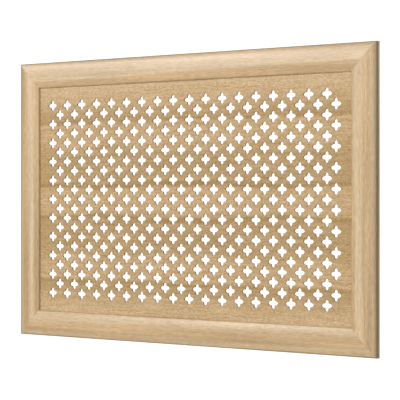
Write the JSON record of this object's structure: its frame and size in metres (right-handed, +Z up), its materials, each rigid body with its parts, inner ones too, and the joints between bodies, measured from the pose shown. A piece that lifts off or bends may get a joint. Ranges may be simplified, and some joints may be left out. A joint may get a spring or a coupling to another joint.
{
  "type": "radiator screen",
  "caption": "Flat rectangular radiator screen: a mitred frame of rounded mouldings round a thin board pierced all over with staggered four-lobed holes.",
  "frame": {"origin": "middle of the top rail's back face, where the screen is held", "axes": "+X to the right of a person facing the screen, +Y out of its back towards the wall, so its front faces -Y, and +Z up"},
  "size_m": [0.9, 0.015, 0.6],
  "materials": {
    "frame_oak": "light oak foil on a moulding, satin, grain along each length",
    "sheet_oak": "oak foil on hardboard, satin, grain across the width, bare brown board inside the holes"
  },
  "bodies": {
    "root": {"top_rail": "frame_oak", "bottom_rail": "frame_oak", "left_stile": "frame_oak", "right_stile": "frame_oak", "pierced_sheet": "sheet_oak"}
  },
  "joints": []
}
